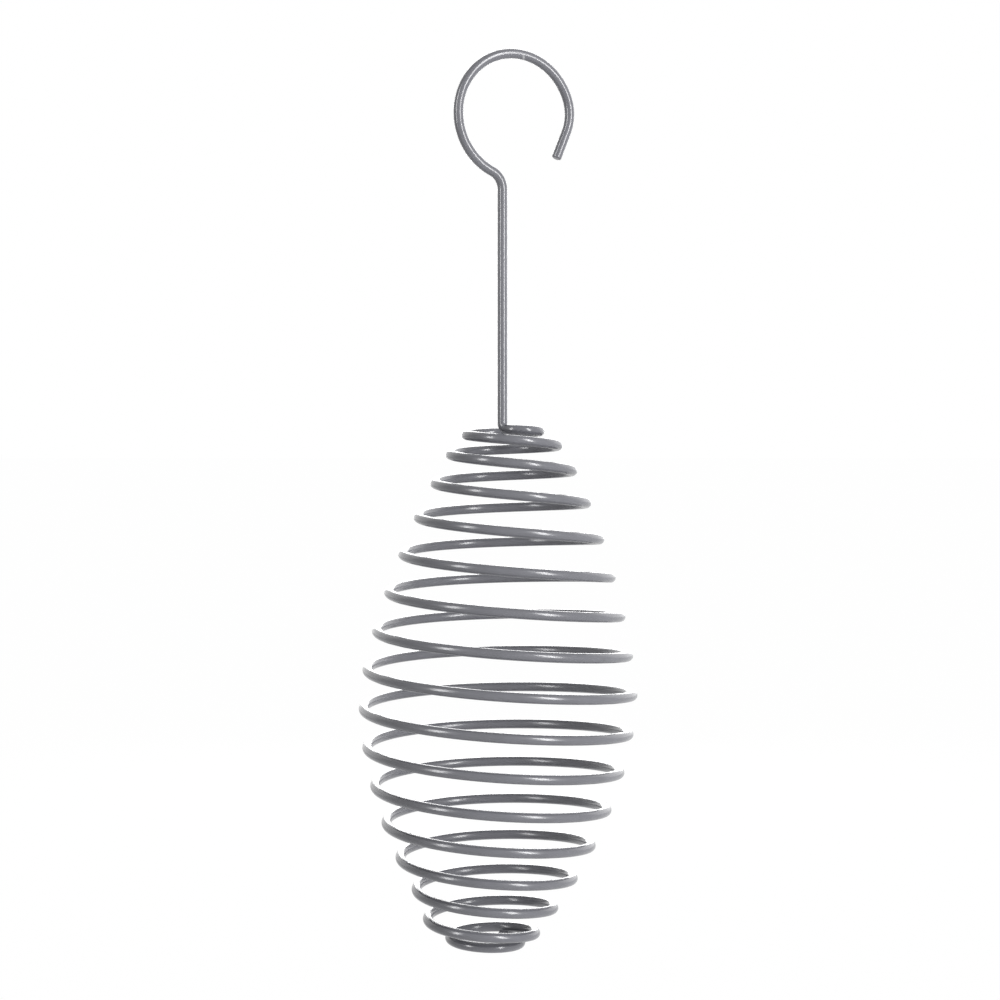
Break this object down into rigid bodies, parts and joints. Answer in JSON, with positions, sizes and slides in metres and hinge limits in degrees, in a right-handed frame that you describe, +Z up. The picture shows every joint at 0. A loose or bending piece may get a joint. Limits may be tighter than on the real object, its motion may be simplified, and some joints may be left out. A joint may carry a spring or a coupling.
{
  "type": "fat ball feeder",
  "caption": "Hanging wild bird feeder of one coated wire: an open hook and stem above a barrel-shaped spring coil that grips fat balls and ends in a small flat turn.",
  "frame": {"origin": "underside of the hook's crown, the point that rests on whatever the feeder hangs from", "axes": "+Z up along the hanging feeder, +X to the right towards the hook's open tip, -Y towards the viewer of the picture"},
  "size_m": [0.1019, 0.1014, 0.3287],
  "materials": {
    "coated_wire": "semi-gloss mid-grey powder coat on steel wire"
  },
  "bodies": {
    "hanger": {"hook": "coated_wire", "stem": "coated_wire", "neck_turn": "coated_wire", "feeder_coil": "coated_wire"},
    "foot": {"foot_turn": "coated_wire"}
  },
  "joints": [
    {"name": "coil_stretch", "type": "slide", "parent": "hanger", "child": "foot", "axis": [0, 0, -1], "range_m": [-0.06, 0.12], "stiffness_N_per_m": 201, "springref_m": -0.0004, "deforming": ["feeder_coil"]}
  ]
}
